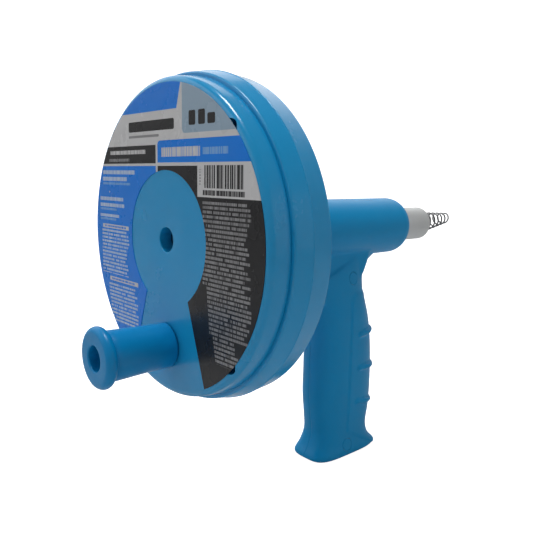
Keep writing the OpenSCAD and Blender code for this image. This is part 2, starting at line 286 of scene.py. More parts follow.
def draw_handling(s: NodeSketch, start: bpy.types.Node, end: bpy.types.Node) -> None:
    """Draw the marks of handling: soft smudges and a few hairline scratches.

    Args:
        s: the group's sketch.
        start: the group's input node.
        end: the group's output node.
    """
    place = s.place()
    smudge = s.between(s.noise(place, 34.0, 4.0, 0.6), 0.38, 0.68)
    lean = s.node("Mapping", Vector=place, Scale=(2600.0, 90.0, 700.0),
                  Rotation=(0.5, 0.4, 0.7)).outputs["Vector"]
    hair = s.between(s.noise(lean, 1.0, 1.0), 0.70, 0.78)
    patch = s.between(s.noise(place, 60.0, 2.0), 0.52, 0.60)
    scratched = s.times(s.times(hair, patch), start.outputs["Scratches"])
    marks = s.plus(s.times(smudge, start.outputs["Smudges"]), scratched)
    s.put(end.inputs["Roughness"], s.math("ADD", start.outputs["Roughness"], marks, clamp=True))
    tone = s.times(s.minus(smudge, 0.5), start.outputs["Tone"])
    shift = s.plus(tone, s.times(scratched, 0.5))
    s.put(end.inputs["Colour"], s.blend(s.math("ABSOLUTE", shift, clamp=True),
                                        start.outputs["Colour"], start.outputs["Worn colour"]))
    s.put(end.inputs["Scratch height"], s.times(scratched, -2.0))


def draw_turning(s: NodeSketch, start: bpy.types.Node, end: bpy.types.Node) -> None:
    """Draw the fine rings that turning or polishing on a lathe leaves round the X axis.

    Args:
        s: the group's sketch.
        start: the group's input node.
        end: the group's output node.
    """
    place = s.place()
    parts = s.node("SeparateXYZ", Vector=place)
    radius = s.math("SQRT", s.plus(s.math("POWER", parts.outputs["Y"], 2.0),
                                   s.math("POWER", parts.outputs["Z"], 2.0)))
    along = s.node("CombineXYZ", X=parts.outputs["X"], Y=radius)
    rings = s.noise(along.outputs["Vector"], start.outputs["Rings"], 4.0, 0.7)
    s.put(end.inputs["Height"], rings)
    s.put(end.inputs["Mask"], s.between(rings, 0.35, 0.65))


def draw_edge_wear(s: NodeSketch, start: bpy.types.Node, end: bpy.types.Node) -> None:
    """Draw wear along raised edges, broken up by noise.

    Args:
        s: the group's sketch.
        start: the group's input node.
        end: the group's output node.
    """
    place = s.place()
    sharp = s.node("NewGeometry").outputs["Pointiness"]
    raised = s.between(sharp, start.outputs["From"], start.outputs["To"])
    broken = s.between(s.noise(place, 420.0, 3.0, 0.6), 0.3, 0.7, 0.35, 1.0)
    s.put(end.inputs["Mask"], s.math("MULTIPLY", s.times(raised, broken),
                                     start.outputs["Amount"], clamp=True))


def label_axes(s: NodeSketch) -> tuple[bpy.types.NodeSocket, bpy.types.NodeSocket]:
    """Places on the label in mm, as its reader sees them: to the right and up."""
    place = s.node("SeparateXYZ", Vector=s.place())
    return s.times(place.outputs["Y"], -1 / MM), s.times(place.outputs["Z"], 1 / MM)


def draw_print_box(s: NodeSketch, start: bpy.types.Node, end: bpy.types.Node) -> None:
    """Draw the mask of one printed box with rounded corners, on the label's own axes.

    Args:
        s: the group's sketch.
        start: the group's input node.
        end: the group's output node.
    """
    across, up = label_axes(s)
    from_middle = s.minus(up, start.outputs["Middle z"])
    leaned = s.minus(s.minus(across, start.outputs["Middle u"]),
                     s.times(from_middle, start.outputs["Lean"]))
    corner = start.outputs["Corner"]
    over_u = s.plus(s.minus(s.math("ABSOLUTE", leaned), start.outputs["Half width"]), corner)
    over_z = s.plus(s.minus(s.math("ABSOLUTE", from_middle), start.outputs["Half height"]), corner)
    out_u, out_z = s.math("MAXIMUM", over_u, 0.0), s.math("MAXIMUM", over_z, 0.0)
    outside = s.math("SQRT", s.plus(s.times(out_u, out_u), s.times(out_z, out_z)))
    inside = s.math("MINIMUM", s.math("MAXIMUM", over_u, over_z), 0.0)
    gap = s.minus(s.plus(outside, inside), corner)
    s.put(end.inputs["Mask"], s.between(gap, -0.06, 0.06, 1.0, 0.0))


def draw_print_rows(s: NodeSketch, start: bpy.types.Node, end: bpy.types.Node) -> None:
    """Draw rows of plain dashes that stand for small print and say nothing.

    Args:
        s: the group's sketch.
        start: the group's input node.
        end: the group's output node.
    """
    across, up = label_axes(s)
    row = s.math("DIVIDE", s.minus(up, start.outputs["First z"]), start.outputs["Pitch"])
    number = s.math("ROUND", row)
    from_row = s.math("ABSOLUTE", s.minus(row, number))
    in_row = s.math("LESS_THAN", from_row, s.times(start.outputs["Height"], 0.5))
    seat = s.node("CombineXYZ", X=s.math("DIVIDE", across, start.outputs["Dash"]),
                  Y=s.times(number, 7.31)).outputs["Vector"]
    dashes = s.math("GREATER_THAN", s.noise(seat, 1.0, 1.0), start.outputs["Gaps"])
    near = s.node("CombineXYZ", X=s.math("DIVIDE", across, start.outputs["Stroke"]),
                  Y=s.times(number, 3.17)).outputs["Vector"]
    strokes = s.between(s.noise(near, 1.0, 0.0), 0.36, 0.5, 0.25, 1.0)
    reach = s.node("TexWhiteNoise", {"noise_dimensions": "1D"}, W=number).outputs["Value"]
    end_u = s.minus(start.outputs["Right u"], s.times(reach, start.outputs["Ragged"]))
    short = s.math("LESS_THAN", across, end_u)
    s.put(end.inputs["Mask"], s.times(s.times(in_row, dashes), s.times(strokes, short)))


FLOAT, COLOUR = "Float", "Color"
GRAIN = Effect("moulded grain", (("Pebbles", FLOAT, 900.0), ("Pebble depth", FLOAT, 0.1),
                                 ("Ripples", FLOAT, 60.0), ("Ripple depth", FLOAT, 0.3)),
               (("Height", FLOAT),), draw_grain)
HANDLING = Effect("handling marks", (
    ("Colour", COLOUR, (0.5, 0.5, 0.5, 1.0)), ("Worn colour", COLOUR, (0.6, 0.6, 0.6, 1.0)),
    ("Roughness", FLOAT, 0.3), ("Smudges", FLOAT, 0.08), ("Scratches", FLOAT, 0.1),
    ("Tone", FLOAT, 0.2)), (("Colour", COLOUR), ("Roughness", FLOAT), ("Scratch height", FLOAT)),
    draw_handling)
TURNING = Effect("turning rings", (("Rings", FLOAT, 3000.0),),
                 (("Height", FLOAT), ("Mask", FLOAT)), draw_turning)
EDGE_WEAR = Effect("edge wear", (("From", FLOAT, 0.52), ("To", FLOAT, 0.6), ("Amount", FLOAT, 0.5)),
                   (("Mask", FLOAT),), draw_edge_wear)
PRINT_BOX = Effect("print box", (
    ("Middle u", FLOAT, 0.0), ("Middle z", FLOAT, 0.0), ("Half width", FLOAT, 1.0),
    ("Half height", FLOAT, 1.0), ("Corner", FLOAT, 0.0), ("Lean", FLOAT, 0.0)),
    (("Mask", FLOAT),), draw_print_box)
PRINT_ROWS = Effect("print rows", (
    ("First z", FLOAT, 0.0), ("Pitch", FLOAT, 2.3), ("Height", FLOAT, 0.6), ("Dash", FLOAT, 2.0),
    ("Stroke", FLOAT, 0.5), ("Gaps", FLOAT, 0.36), ("Right u", FLOAT, 100.0),
    ("Ragged", FLOAT, 6.0)), (("Mask", FLOAT),), draw_print_rows)


# ---------------------------------------------------------------- finishes


def shader(name: str) -> tuple[bpy.types.Material, NodeSketch, bpy.types.Node]:
    """Start a material with a Principled BSDF.

    Args:
        name: the material's name.

    Returns:
        The material, its sketch and its shader node.
    """
    made = bpy.data.materials.new(name)
    made.use_nodes = True
    sketch = NodeSketch(made.node_tree)
    surface = sketch.node("BsdfPrincipled")
    out = sketch.node("OutputMaterial")
    sketch.put(out.inputs["Surface"], surface.outputs["BSDF"])
    return made, sketch, surface


@dataclass(frozen=True)
class MouldedPlastic:
    """Coloured moulded plastic with its grain and handling marks."""

    name: str
    colour: Colour
    worn: Colour
    roughness: float = 0.3
    smudges: float = 0.08
    scratches: float = 0.08
    tone: float = 0.25
    pebbles: float = 900.0
    pebble_depth: float = 0.02
    ripples: float = 70.0
    ripple_depth: float = 0.25
    bump: float = 0.0004
    gloss: float = 0.5
    coat: float = 0.0
    coat_roughness: float = 0.08
    wear: float = 0.0
    subsurface: float = 0.0

    def build(self) -> bpy.types.Material:
        """Build the material.

        Returns:
            The new material.
        """
        made, s, surface = shader(self.name)
        marks = HANDLING.use(s, Colour=self.colour, Worn_colour=self.worn,
                             Roughness=self.roughness, Smudges=self.smudges,
                             Scratches=self.scratches, Tone=self.tone)
        colour = marks.outputs["Colour"]
        if self.wear:
            worn = EDGE_WEAR.use(s, From=0.51, To=0.56, Amount=self.wear)
            colour = s.blend(worn.outputs["Mask"], colour, self.worn)
        grain = GRAIN.use(s, Pebbles=self.pebbles, Pebble_depth=self.pebble_depth,
                          Ripples=self.ripples, Ripple_depth=self.ripple_depth)
        height = s.plus(grain.outputs["Height"], s.times(marks.outputs["Scratch height"], 0.05))
        bump = s.node("Bump", Height=height, Distance=self.bump, Strength=1.0)
        s.put(surface.inputs["Base Color"], colour)
        s.put(surface.inputs["Roughness"], marks.outputs["Roughness"])
        s.put(surface.inputs["Normal"], bump.outputs["Normal"])
        surface.inputs["Specular IOR Level"].default_value = self.gloss
        surface.inputs["Coat Weight"].default_value = self.coat
        surface.inputs["Coat Roughness"].default_value = self.coat_roughness
        surface.inputs["Subsurface Weight"].default_value = self.subsurface
        surface.inputs["Subsurface Scale"].default_value = 0.002
        return made


@dataclass(frozen=True)
class WorkedMetal:
    """Metal with lathe rings, tarnish, scratches and bright worn edges."""

    name: str
    colour: Colour
    dull: Colour
    roughness: float = 0.3
    rings: float = 2600.0
    ring_depth: float = 0.3
    smudges: float = 0.15
    scratches: float = 0.2
    tone: float = 0.5
    wear: float = 0.5
    bump: float = 0.00004
    metallic: float = 1.0

    def build(self) -> bpy.types.Material:
        """Build the material.

        Returns:
            The new material.
        """
        made, s, surface = shader(self.name)
        marks = HANDLING.use(s, Colour=self.colour, Worn_colour=self.dull,
                             Roughness=self.roughness, Smudges=self.smudges,
                             Scratches=self.scratches, Tone=self.tone)
        turning = TURNING.use(s, Rings=self.rings)
        streaked = s.times(turning.outputs["Mask"], 0.25)
        colour = s.blend(streaked, marks.outputs["Colour"], self.dull)
        worn = EDGE_WEAR.use(s, From=0.52, To=0.60, Amount=self.wear)
        colour = s.blend(worn.outputs["Mask"], colour, self.colour)
        height = s.plus(s.times(turning.outputs["Height"], self.ring_depth),
                        marks.outputs["Scratch height"])
        bump = s.node("Bump", Height=height, Distance=self.bump, Strength=1.0)
        s.put(surface.inputs["Base Color"], colour)
        s.put(surface.inputs["Roughness"], marks.outputs["Roughness"])
        s.put(surface.inputs["Normal"], bump.outputs["Normal"])
        surface.inputs["Metallic"].default_value = self.metallic
        return made


class Ink(Enum):
    """The inks of the label."""

    BLACK = ink(32, 32, 34)
    BLUE = ink(0, 124, 226)
    WHITE = ink(205, 205, 206)
    PANEL = ink(150, 172, 190)
    PALE = ink(190, 205, 225)
    GREY = ink(140, 140, 142)
    SOFT_BLUE = ink(120, 170, 225)


@dataclass(frozen=True)
class Rows:
    """Rows of dashes in a box of the label, in mm."""

    first: float
    pitch: float = 2.3
    height: float = 0.6
    dash: float = 2.2
    stroke: float = 0.55
    gaps: float = 0.36
    ragged: float = 6.0


@dataclass(frozen=True)
class PrintField:
    """One printed box of the label: its sides in mm on the drum's face, and its ink."""

    left: float
    right: float
    bottom: float
    top: float
    colour: Ink
    corner: float = 0.0
    lean: float = 0.0
    rows: Rows | None = None


@dataclass(frozen=True)
class StickerPrint:
    """A glossy printed sticker: boxes of ink over a black ground."""

    name: str
    fields: tuple[PrintField, ...]
    roughness: float = 0.24
    gloss: float = 0.3

    def build(self) -> bpy.types.Material:
        """Build the material.

        Returns:
            The new material.
        """
        made, s, surface = shader(self.name)
        colour: object = Ink.BLACK.value
        for box in self.fields:
            mask = PRINT_BOX.use(
                s, Middle_u=(box.left + box.right) / 2, Middle_z=(box.bottom + box.top) / 2,
                Half_width=(box.right - box.left) / 2, Half_height=(box.top - box.bottom) / 2,
                Corner=box.corner, Lean=box.lean).outputs["Mask"]
            if box.rows:
                rows = PRINT_ROWS.use(
                    s, First_z=box.rows.first, Pitch=box.rows.pitch, Height=box.rows.height,
                    Dash=box.rows.dash, Stroke=box.rows.stroke, Gaps=box.rows.gaps,
                    Right_u=box.right, Ragged=box.rows.ragged)
                mask = s.times(mask, rows.outputs["Mask"])
            colour = s.blend(mask, colour, box.colour.value)
        marks = HANDLING.use(s, Colour=colour, Worn_colour=(0.4, 0.42, 0.45, 1.0),
                             Roughness=self.roughness, Smudges=0.08, Scratches=0.01, Tone=0.02)
        grain = GRAIN.use(s, Pebbles=500.0, Pebble_depth=0.01, Ripples=45.0, Ripple_depth=0.6)
        bump = s.node("Bump", Height=grain.outputs["Height"], Distance=0.0003, Strength=1.0)
        s.put(surface.inputs["Base Color"], marks.outputs["Colour"])
        s.put(surface.inputs["Roughness"], marks.outputs["Roughness"])
        s.put(surface.inputs["Normal"], bump.outputs["Normal"])
        surface.inputs["Specular IOR Level"].default_value = self.gloss
        return made


@dataclass(frozen=True)
class StudioPaper:
    """Plain white paper for the floor and the backdrop."""

    name: str
    colour: Colour
    glow: float
    behind: float

    def build(self) -> bpy.types.Material:
        """Build the material.

        Returns:
            The new material.
        """
        made, s, surface = shader(self.name)
        place = s.place()
        tone = s.between(s.noise(place, 3.0, 2.0), 0.3, 0.7, 0.0, 0.02)
        s.put(surface.inputs["Base Color"], s.blend(tone, self.colour, (0.5, 0.5, 0.5, 1.0)))
        surface.inputs["Roughness"].default_value = 0.9
        surface.inputs["Specular IOR Level"].default_value = 0.1
        surface.inputs["Emission Color"].default_value = (1.0, 1.0, 1.0, 1.0)
        seen = s.node("LightPath").outputs["Is Camera Ray"]
        parts = s.node("SeparateXYZ", Vector=place)
        behind = s.times(s.between(parts.outputs["Y"], -0.6, 1.2),
                         s.between(parts.outputs["Z"], 0.2, 1.3, 0.0, self.behind))
        s.put(surface.inputs["Emission Strength"],
              s.math("MAXIMUM", s.times(seen, self.glow), behind))
        return made


RIM = 95.0
LABEL_FIELDS = (
    PrintField(-RIM, -7.7, -RIM, 41.6, Ink.BLUE),
    # title band, window of the size and the top field
    PrintField(-RIM, RIM, 52.4, RIM, Ink.WHITE),
    PrintField(-RIM, 15.6, 70.8, RIM, Ink.BLUE, lean=0.3),
    PrintField(17.2, RIM, 57.6, RIM, Ink.PANEL, corner=2.6),
    PrintField(-40.0, 9.5, 60.2, 66.0, Ink.BLACK, corner=1.2),
    PrintField(-40.0, -6.0, 56.8, 58.2, Ink.GREY, corner=0.6),
    PrintField(23.5, 29.5, 61.4, 68.8, Ink.BLACK, corner=1.0),
    PrintField(32.0, 38.0, 61.4, 68.8, Ink.BLACK, corner=1.0),
    PrintField(40.0, 46.5, 61.4, 66.6, Ink.BLACK, corner=1.0),
    # bands with the name of the thing, as dashes
    PrintField(-RIM, -9.6, 41.6, 52.4, Ink.BLACK),
    PrintField(-9.6, RIM, 41.2, 55.0, Ink.WHITE),
    PrintField(-7.7, RIM, 42.6, 54.6, Ink.BLUE, corner=2.6),
    PrintField(-7.7, RIM, 42.6, 48.0, Ink.BLUE),
    PrintField(-RIM, RIM, 40.8, 42.2, Ink.WHITE),
    PrintField(-9.6, -7.7, 0.0, 54.0, Ink.WHITE),
    PrintField(-64.0, -21.0, 47.4, 50.2, Ink.WHITE,
               rows=Rows(48.8, 3.2, 0.72, 3.2, 0.7, 0.3, 0.0)),
    PrintField(-66.0, -40.0, 43.2, 45.4, Ink.GREY, rows=Rows(44.3, 2.4, 0.7, 2.4, 0.5, 0.32, 0.0)),
    PrintField(-3.4, 33.6, 45.4, 51.0, Ink.WHITE, rows=Rows(48.2, 8.0, 0.62, 5.0, 1.1, 0.2, 0.0)),
    PrintField(36.0, 57.0, 46.0, 50.4, Ink.SOFT_BLUE,
               rows=Rows(48.2, 7.0, 0.5, 4.0, 0.9, 0.26, 0.0)),
    # bars and the box that holds them
    PrintField(31.2, RIM, 25.0, 42.2, Ink.WHITE),
    PrintField(37.0, 69.0, 29.6, 41.0, Ink.BLACK,
               rows=Rows(35.3, 30.0, 0.9, 1.6, 0.75, 0.43, 0.0)),
    PrintField(36.0, 70.0, 26.0, 28.6, Ink.BLACK, rows=Rows(27.3, 6.0, 0.5, 1.6, 0.6, 0.36, 0.0)),
    PrintField(33.0, 34.2, 30.5, 39.0, Ink.GREY, rows=Rows(30.0, 1.5, 0.6, 9.0, 5.0, 0.1, 0.0)),
    # small print on the right
    PrintField(35.8, 75.0, -20.0, 23.4, Ink.GREY, rows=Rows(22.2)),
    PrintField(40.5, 76.0, -46.0, -20.0, Ink.GREY, lean=-0.1, rows=Rows(22.2)),
    PrintField(46.0, 68.0, -60.0, -46.0, Ink.GREY, lean=-0.2, rows=Rows(22.2)),
    # small print on the left
    PrintField(-74.8, -32.0, 35.4, 38.6, Ink.PALE, rows=Rows(37.0, 6.0, 0.4, 3.0, 0.7, 0.3, 3.0)),
    PrintField(-75.5, -42.0, 31.3, 34.5, Ink.PALE, rows=Rows(32.9, 6.0, 0.4, 3.0, 0.7, 0.3, 3.0)),
    PrintField(-75.0, -36.0, 29.2, 30.8, Ink.SOFT_BLUE, rows=Rows(30.0, 4.0, 0.35)),
    PrintField(-67.0, -65.8, 24.2, 25.4, Ink.PALE, corner=0.6),
    PrintField(-79.5, -47.0, 15.0, 22.0, Ink.PALE, rows=Rows(20.4, 4.0, 0.55, 3.0, 0.7, 0.3, 3.0)),
    PrintField(-79.5, -54.0, 13.0, 14.6, Ink.SOFT_BLUE, rows=Rows(13.8, 4.0, 0.35)),
    PrintField(-80.0, -51.0, 8.7, 10.7, Ink.PALE, rows=Rows(9.7, 4.0, 0.45)),
    PrintField(-80.0, -55.0, 6.8, 8.2, Ink.SOFT_BLUE, rows=Rows(7.5, 4.0, 0.35)),
    PrintField(-76.8, -42.4, 1.7, 4.2, Ink.WHITE, corner=0.4),
    PrintField(-74.5, -46.0, 2.3, 3.6, Ink.BLUE, rows=Rows(2.95, 4.0, 0.3, 2.0, 0.6, 0.4, 0.0)),
    PrintField(-78.0, -42.0, -27.5, 0.9, Ink.PALE, rows=Rows(0.0, 2.3, 0.55)),
    PrintField(-68.4, -32.0, -32.0, -29.4, Ink.WHITE, corner=0.4),
    PrintField(-66.0, -36.0, -31.4, -30.0, Ink.BLUE,
               rows=Rows(-30.7, 4.0, 0.3, 2.0, 0.6, 0.4, 0.0)),
    PrintField(-68.0, -32.0, -58.0, -33.4, Ink.PALE, lean=-0.2, rows=Rows(0.0, 2.3, 0.55)),
)

FINISHES = {
    Slot.DRUM: MouldedPlastic(Slot.DRUM.value, ink(22, 150, 208), ink(40, 160, 214),
                              roughness=0.2, coat=0.1, gloss=0.4, ripple_depth=0.12,
                              scratches=0.02),
    Slot.GRIP: MouldedPlastic(Slot.GRIP.value, ink(0, 144, 202), ink(20, 152, 208),
                              roughness=0.33, gloss=0.22, pebble_depth=0.05,
                              wear=0.15),
    Slot.KNOB: MouldedPlastic(Slot.KNOB.value, ink(0, 134, 196), ink(20, 146, 204),
                              roughness=0.3, gloss=0.28, pebble_depth=0.03),
    Slot.LABEL: StickerPrint(Slot.LABEL.value, LABEL_FIELDS),
    Slot.CHUCK: WorkedMetal(Slot.CHUCK.value, ink(212, 214, 214), ink(188, 190, 190),
                            roughness=0.42, metallic=0.35),
    Slot.PLATED: WorkedMetal(Slot.PLATED.value, ink(200, 202, 205), ink(150, 154, 160),
                             roughness=0.25),
    Slot.BLACK: WorkedMetal(Slot.BLACK.value, ink(58, 60, 64), ink(36, 37, 40), roughness=0.35),
    Slot.WIRE: WorkedMetal(Slot.WIRE.value, ink(122, 124, 126), ink(78, 80, 82), roughness=0.3,
                           rings=900.0, ring_depth=0.1),
    Slot.NYLON: MouldedPlastic(Slot.NYLON.value, ink(214, 209, 192), ink(190, 184, 165),
                               roughness=0.45, subsurface=0.2),
    Slot.BRASS: WorkedMetal(Slot.BRASS.value, ink(205, 165, 85), ink(150, 110, 50), roughness=0.3),
    Slot.RUBBER: MouldedPlastic(Slot.RUBBER.value, ink(28, 29, 31), ink(60, 60, 62),
                                roughness=0.6, pebble_depth=0.1),
}
PAPER = StudioPaper("studio_paper", (0.6, 0.6, 0.6, 1.0), 1.0, 1.1)


# ---------------------------------------------------------------- shaping


def arc(centre: Point, radius: float, start: float, end: float, parts: int = 10) -> list[Point]:
    """Points of an arc in a profile, where 0 degrees points outwards and 90 along +X.

    Args:
        centre: radius and x of its centre, in mm.
        radius: its own radius, in mm.
        start: first angle, in degrees.
        end: last angle, in degrees.
        parts: how many steps it has.

    Returns:
        The points as radius and x.
    """
    angles = [math.radians(start + (end - start) * i / parts) for i in range(parts + 1)]
    return [(centre[0] + radius * math.cos(a), centre[1] + radius * math.sin(a)) for a in angles]


def eased(corners: Sequence[tuple[float, float, float]], parts: int = 4) -> list[Point]:
    """A closed profile with its corners rounded.

    Args:
        corners: radius, x and how far from the corner the rounding starts, in mm.
        parts: steps in each rounding.

    Returns:
        The points as radius and x.
    """
    points: list[Point] = []
    count = len(corners)
    for i, (r, x, ease) in enumerate(corners):
        here = Vector((r, x))
        if not ease:
            points.append((r, x))
            continue
        before, after = (Vector(corners[j][:2]) for j in ((i - 1) % count, (i + 1) % count))
        first = here + (before - here).normalized() * min(ease, (before - here).length / 2)
        last = here + (after - here).normalized() * min(ease, (after - here).length / 2)
        for k in range(parts + 1):
            t = k / parts
            point = first * (1 - t) ** 2 + here * 2 * t * (1 - t) + last * t ** 2
            points.append((point.x, point.y))
    return points


def turned(profile: Sequence[Point], steps: int, at: Point = (0.0, 0.0)) -> bmesh.types.BMesh:
    """Spin a closed profile round an axis along X.

    Args:
        profile: points as radius and x, in mm.
        steps: steps of the full turn.
        at: the axis's y and z, in mm.

    Returns:
        The closed shape, in metres.
    """
    shape = bmesh.new()
    verts = [shape.verts.new((x * MM, 0.0, r * MM)) for r, x in profile]
    edges = [shape.edges.new(pair) for pair in zip(verts, verts[1:] + verts[:1])]
    bmesh.ops.spin(shape, geom=verts + edges, cent=(0, 0, 0), axis=(1, 0, 0), dvec=(0, 0, 0),
                   angle=2 * math.pi, steps=steps, use_merge=True, use_duplicate=False)
    bmesh.ops.remove_doubles(shape, verts=shape.verts, dist=1e-6)
    bmesh.ops.dissolve_degenerate(shape, dist=1e-7, edges=shape.edges)
    bmesh.ops.recalc_face_normals(shape, faces=shape.faces)
    bmesh.ops.translate(shape, verts=shape.verts, vec=(0.0, at[0] * MM, at[1] * MM))
    return shape


def plug(radius: float, start: float, end: float, at: Point, steps: int = 48,
         flare: float = 0.0) -> bmesh.types.BMesh:
    """A round cutter along X, flared at its first end to leave a rounded lip.

    Args:
        radius: its radius, in mm.
        start: x of its outer end, in mm.
        end: x of its inner end, in mm.
        at: its axis's y and z, in mm.
        steps: steps round it.
        flare: radius of the lip that it leaves at x = 0, in mm.

    Returns:
        The cutter's shape.
    """
    profile: list[Point] = [(0.0, start), (radius + flare, start)]
    if flare:
        profile += arc((radius + flare, flare), flare, -90, -180, 5)
    profile += [(radius, end), (0.0, end)]
    return turned(profile, steps, at)


def swept(route: Sequence[Vector], size: Callable[[float], float], sides: int) -> bmesh.types.BMesh:
    """Sweep a circle along a route by extruding its ring from point to point.

    Args:
        route: the points, in metres.
        size: the radius at a share of the way, in metres.
        sides: sides of the circle.

    Returns:
        The closed shape.
    """
    shape = bmesh.new()
    count = len(route)
    along = [(route[min(i + 1, count - 1)] - route[max(i - 1, 0)]).normalized()
             for i in range(count)]
    turn = along[0].to_track_quat("Z", "Y").to_matrix()

    def seat(i: int) -> Matrix:
        """The ring's place at point i."""
        radius = size(i / (count - 1))
        return Matrix.Translation(route[i]) @ turn.to_4x4() @ Matrix.Scale(radius, 4)

    here = seat(0)
    made = bmesh.ops.create_circle(shape, cap_ends=False, segments=sides, radius=1.0, matrix=here)
    ring = list({edge for vert in made["verts"] for edge in vert.link_edges})
    ends = [ring]
    for i in range(1, count):
        grown = bmesh.ops.extrude_edge_only(shape, edges=ring)["geom"]
        verts = [g for g in grown if isinstance(g, bmesh.types.BMVert)]
        ring = [g for g in grown if isinstance(g, bmesh.types.BMEdge)]
        turn = along[i - 1].rotation_difference(along[i]).to_matrix() @ turn
        there = seat(i)
        bmesh.ops.transform(shape, matrix=there @ here.inverted(), verts=verts)
        here = there
    ends.append(ring)
    for loop in ends:
        bmesh.ops.contextual_create(shape, geom=loop)
    bmesh.ops.recalc_face_normals(shape, faces=shape.faces)
    return shape


def slab(outline: Sequence[Point], half: float) -> bmesh.types.BMesh:
    """Extrude an outline in X and Z across Y.

    Args:
        outline: the corners as x and z, in mm.
        half: how far it reaches on each side of y = 0, in mm.

    Returns:
        The closed shape.
    """
    shape = bmesh.new()
    face = shape.faces.new([shape.verts.new((x * MM, -half * MM, z * MM)) for x, z in outline])
    made = bmesh.ops.extrude_face_region(shape, geom=[face])["geom"]
    verts = [g for g in made if isinstance(g, bmesh.types.BMVert)]
    bmesh.ops.translate(shape, verts=verts, vec=(0.0, 2 * half * MM, 0.0))
    bmesh.ops.recalc_face_normals(shape, faces=shape.faces)
    return shape


def trimmed(shape: bmesh.types.BMesh, at: Vector, away: Vector) -> None:
    """Cut a closed shape with a plane and close the cut.

    Args:
        shape: the shape to cut.
        at: a point of the plane.
        away: the side to remove.
    """
    geom = shape.verts[:] + shape.edges[:] + shape.faces[:]
    cut = bmesh.ops.bisect_plane(shape, geom=geom, plane_co=at, plane_no=away, dist=1e-7,
                                 clear_outer=True)["geom_cut"]
    edges = [g for g in cut if isinstance(g, bmesh.types.BMEdge)]
    bmesh.ops.holes_fill(shape, edges=edges, sides=0)
    bmesh.ops.recalc_face_normals(shape, faces=shape.faces)


def joined(parts: Sequence[bmesh.types.BMesh]) -> bmesh.types.BMesh:
    """Put several shapes into one.

    Args:
        parts: the shapes, which are freed.

    Returns:
        The one shape.
    """
    whole = bmesh.new()
    for part in parts:
        scratch = bpy.data.meshes.new("part")
        part.to_mesh(scratch)
        part.free()
        whole.from_mesh(scratch)
        bpy.data.meshes.remove(scratch)
    return whole


def plain_object(name: str, shape: bmesh.types.BMesh) -> bpy.types.Object:
    """Turn a shape into an object of the scene.

    Args:
        name: the object's name.
        shape: the shape, which is freed.

    Returns:
        The new object.
    """
    mesh = bpy.data.meshes.new(name)
    shape.to_mesh(mesh)
    shape.free()
    made = bpy.data.objects.new(name, mesh)
    bpy.context.scene.collection.objects.link(made)
    return made


def settled(target: bpy.types.Object) -> None:
    """Apply the live modifiers of an object to its mesh.

    Args:
        target: the object.
    """
    graph = bpy.context.evaluated_depsgraph_get()
    graph.update()
    mesh = bpy.data.meshes.new_from_object(target.evaluated_get(graph))
    target.modifiers.clear()
    target.data = mesh


def carved(target: bpy.types.Object, cutters: Sequence[bmesh.types.BMesh]) -> None:
    """Cut shapes out of an object.

    Args:
        target: the object to cut.
        cutters: closed shapes, which are used up.
    """
    for i, cutter in enumerate(cutters):
        tool = plain_object(f"{target.name}_tool_{i}", cutter)
        cut = target.modifiers.new(f"cut_{i}", "BOOLEAN")
        cut.operation = "DIFFERENCE"
        cut.solver = "EXACT"
        cut.object = tool
        settled(target)
        bpy.data.objects.remove(tool)


@dataclass
class Workshop:
    """The finishes, built once and handed to the sub-assemblies."""

    materials: dict[Slot, bpy.types.Material] = field(default_factory=dict)

    def __post_init__(self) -> None:
        """Build every finish."""
        self.materials = {slot: finish.build() for slot, finish in FINISHES.items()}

    def dress(self, piece: bpy.types.Object, body: Body, slot: Slot, *nodes: str,
              crease: float = 35.0) -> bpy.types.Object:
        """Give a piece the material of its slot, its shading and its body, and hide the CAD nodes
        that it replaces.

        Args:
            piece: the finished piece.
            body: the body that it rides on.
            slot: its finish.
            nodes: CAD nodes that it replaces.
            crease: edges sharper than this, in degrees, stay sharp.

        Returns:
            The piece.
        """
        piece.data.materials.clear()
        piece.data.materials.append(self.materials[slot])
        piece.data.shade_smooth()
        piece.data.set_sharp_from_angle(angle=math.radians(crease))
        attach(piece, body.value)
        if nodes:
            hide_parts(*nodes)
        LOG.info("%s: %d faces on %s", piece.name, len(piece.data.polygons), body.value)
        return piece

    def repaint(self, node: str, slot: Slot) -> None:
        """Give a carried-over CAD node its finish.

        Args:
            node: the node's name.
            slot: the finish.
        """
        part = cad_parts[node]
        if not part.material_slots:
            part.data.materials.append(self.materials[slot])
        for holder in part.material_slots:
            holder.material = self.materials[slot]
        LOG.info("%s: %s", node, slot.value)


# ---------------------------------------------------------------- drum


